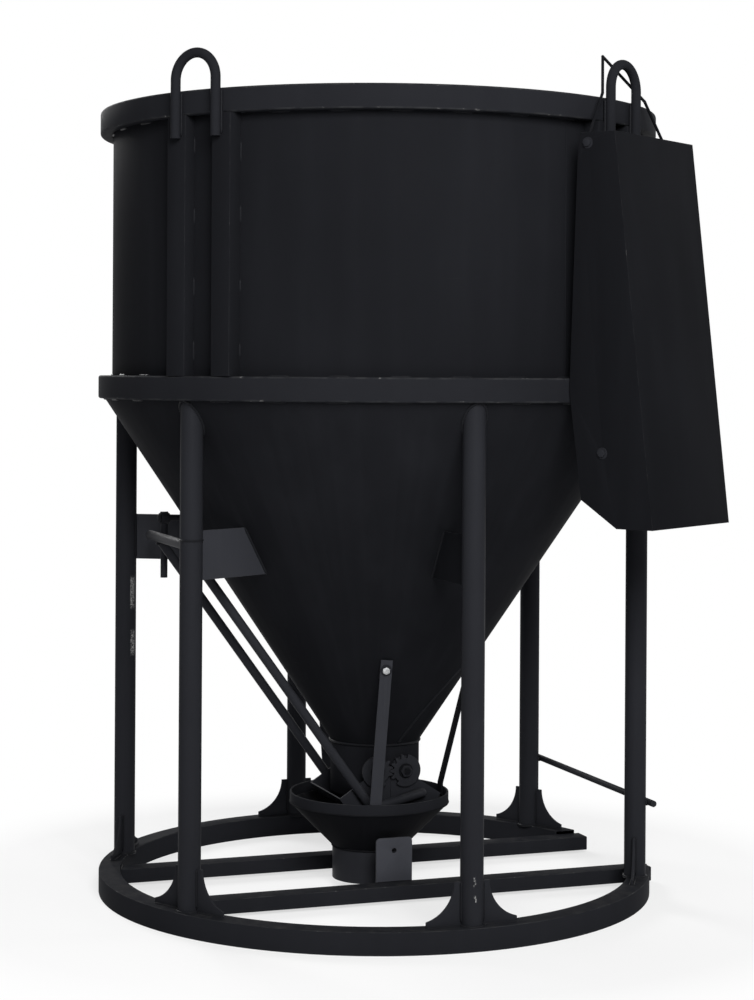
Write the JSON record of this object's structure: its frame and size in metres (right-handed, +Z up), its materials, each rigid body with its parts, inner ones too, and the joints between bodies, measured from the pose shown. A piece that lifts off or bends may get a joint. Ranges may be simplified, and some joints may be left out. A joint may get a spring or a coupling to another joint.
{
  "type": "concrete bucket",
  "caption": "Bell-shaped crane bucket for fresh concrete: round hopper, cone, twin-jaw lever gate, outlet funnel, legs on an open base ring, lifting lugs and a hung chute",
  "frame": {"origin": "the bucket's axis at floor level, in the middle of the base ring", "axes": "Z up; +X is the open side of the base ring; -X is the lever side; the chute hangs at the front right, 304.5 degrees round from +X"},
  "size_m": [1.5758, 1.7376, 2.3073],
  "materials": {
    "black_paint": "satin",
    "zinc": "satin",
    "steel": "worn"
  },
  "bodies": {
    "frame": {"hopper_cylinder": "black_paint", "hopper_cone": "black_paint", "rim_band": "black_paint", "mid_band": "black_paint", "throat_pipe": "black_paint", "lug_1": "black_paint", "lug_2": "black_paint", "lug_3": "black_paint", "lug_4": "black_paint", "lug_posts_1": "black_paint", "lug_posts_2": "black_paint", "lug_posts_3": "black_paint", "lug_posts_4": "black_paint", "leg_1": "black_paint", "leg_2": "black_paint", "leg_3": "black_paint", "leg_4": "black_paint", "leg_5": "black_paint", "leg_6": "black_paint", "leg_brace_2": "black_paint", "leg_brace_3": "black_paint", "leg_brace_4": "black_paint", "leg_brace_5": "black_paint", "base_ring": "black_paint", "front_crossbar": "black_paint", "rear_crossbar": "black_paint", "tie_bar": "black_paint", "funnel_rim": "black_paint", "funnel_cone": "black_paint", "spout": "black_paint", "front_tab": "black_paint", "rear_tab": "black_paint", "front_strap": "black_paint", "rear_strap": "black_paint", "side_strap": "black_paint", "front_strap_bracket": "black_paint", "rear_strap_bracket": "black_paint", "side_strap_bracket": "black_paint", "strap_bolts": "zinc", "gate_pins": "steel", "gate_nuts": "zinc", "latch_peg": "black_paint"},
    "gate_right": {"right_jaw": "black_paint", "right_front_sector": "black_paint", "right_rear_sector": "black_paint", "lever": "black_paint"},
    "gate_left": {"left_jaw": "black_paint", "left_front_sector": "black_paint", "left_rear_sector": "black_paint"},
    "latch": {"latch_hook": "black_paint"},
    "chute": {"chute_trough": "black_paint", "chute_bolts": "zinc", "chute_nuts": "zinc"},
    "bail": {"chute_bail": "black_paint"}
  },
  "joints": [
    {"name": "gate_lever", "type": "hinge", "parent": "frame", "child": "gate_right", "pos_m": [0.041, 0, 0.347], "axis": [0, -1, 0], "range_deg": [0, 27]},
    {"name": "left_jaw_turn", "type": "hinge", "parent": "frame", "child": "gate_left", "pos_m": [-0.041, 0, 0.347], "axis": [0, -1, 0], "range_deg": [-27, 0]},
    {"name": "latch_swing", "type": "hinge", "parent": "frame", "child": "latch", "pos_m": [-0.569, 0.204, 1.042], "axis": [1, 0, 0], "range_deg": [0, 38]},
    {"name": "chute_lift", "type": "slide", "parent": "frame", "child": "chute", "axis": [0, 0, 1], "range_m": [0, 0.12]},
    {"name": "bail_swing", "type": "hinge", "parent": "chute", "child": "bail", "pos_m": [0.46105, -0.67084, 2.051], "axis": [0.8241, 0.5664, 0], "range_deg": [-6, 1]}
  ],
  "couplings": [
    {"joint": "left_jaw_turn", "follows": "gate_lever", "ratio": -1}
  ]
}
